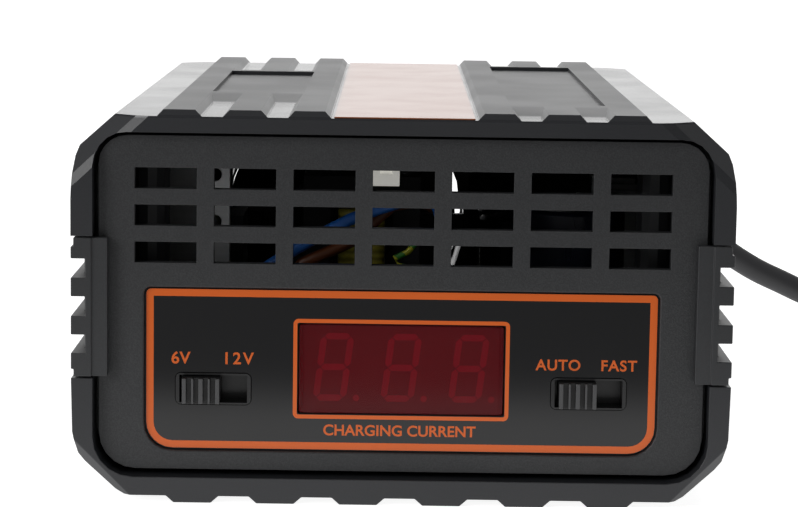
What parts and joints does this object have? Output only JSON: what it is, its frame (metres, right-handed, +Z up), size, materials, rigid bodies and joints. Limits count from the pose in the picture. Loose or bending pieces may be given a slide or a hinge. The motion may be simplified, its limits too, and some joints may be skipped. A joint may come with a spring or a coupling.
{
  "type": "car battery charger",
  "caption": "Boxy mains car battery charger with ribbed half shells, grooved side grips, slotted front vents, slide switches, a red digit display, a rear fan and a coiled mains lead.",
  "frame": {"origin": "middle of the case's footprint, on the underside of its ribs", "axes": "+X to the right seen from the front, +Y from the front panel to the rear panel, +Z up"},
  "size_m": [0.2809, 0.2235, 0.075],
  "materials": {
    "shell": "fine moulded charcoal plastic with a faint satin bloom",
    "grip": "ribbed side rail, slightly softer black plastic",
    "panel": "fine spark-eroded grain",
    "film": "glossy printed film with an orange border",
    "label": "glossy orange film strip",
    "window": "dark red display filter",
    "black_plastic": "moulded black plastic",
    "white_plastic": "moulded white plastic",
    "circuit_board": "green solder mask over glass fibre",
    "ferrite": "sintered ferrite",
    "yellow_tape": "wound polyester tape",
    "aluminium": "brushed sheet",
    "steel": "zinc plated",
    "nickel": "nickel plated brass",
    "copper": "enamelled copper winding",
    "sleeve": "shrunk sleeve over an aluminium can",
    "fuse_glass": "clear tube",
    "blue_wire": "soft insulation",
    "brown_wire": "soft insulation",
    "earth_wire": "yellow and green striped insulation",
    "cable": "matte dark grey sheath",
    "tie": "soft black strap"
  },
  "bodies": {
    "case": {"top_shell": "shell", "bottom_shell": "shell", "side_grip_left": "grip", "side_grip_right": "grip", "front_panel": "panel", "rear_panel": "panel", "control_overlay": "film", "top_label": "label", "display_window": "window", "display_module": "black_plastic", "display_board": "circuit_board", "voltage_switch_body": "black_plastic", "mode_switch_body": "black_plastic", "main_board": "circuit_board", "transformer_core": "ferrite", "transformer_winding": "yellow_tape", "heat_sink_left": "aluminium", "heat_sink_right": "aluminium", "power_transistor": "black_plastic", "output_rectifier": "black_plastic", "bulk_capacitor": "sleeve", "output_capacitor_1": "sleeve", "output_capacitor_2": "sleeve", "output_choke": "copper", "relay": "black_plastic", "mains_fuse": "fuse_glass", "wire_connector": "white_plastic", "neutral_wire": "blue_wire", "live_wire": "brown_wire", "earth_wire": "earth_wire", "fan_frame": "black_plastic", "mains_strain_relief": "cable", "output_gland": "cable", "mains_cable": "cable", "mains_cable_coil": "cable", "mains_cable_tail": "cable", "coil_tie": "tie", "mains_plug_body": "cable", "plug_pin_left": "nickel", "plug_pin_right": "nickel", "fan_screw_1": "steel", "fan_screw_2": "steel", "fan_screw_3": "steel", "fan_screw_4": "steel", "case_screw_1": "steel", "case_screw_2": "steel", "case_screw_3": "steel", "case_screw_4": "steel", "board_screw_1": "steel", "board_screw_2": "steel", "board_screw_3": "steel", "board_screw_4": "steel"},
    "voltage_knob": {"voltage_switch_knob": "black_plastic"},
    "mode_knob": {"mode_switch_knob": "black_plastic"},
    "fan_rotor": {"fan_rotor": "black_plastic"}
  },
  "joints": [
    {"name": "voltage_slide", "type": "slide", "parent": "case", "child": "voltage_knob", "axis": [1, 0, 0], "range_m": [0, 0.0044]},
    {"name": "mode_slide", "type": "slide", "parent": "case", "child": "mode_knob", "axis": [1, 0, 0], "range_m": [0, 0.0044]},
    {"name": "fan_spin", "type": "hinge", "parent": "case", "child": "fan_rotor", "pos_m": [-0.014, 0.0647, 0.038], "axis": [0, 1, 0], "continuous": true}
  ]
}
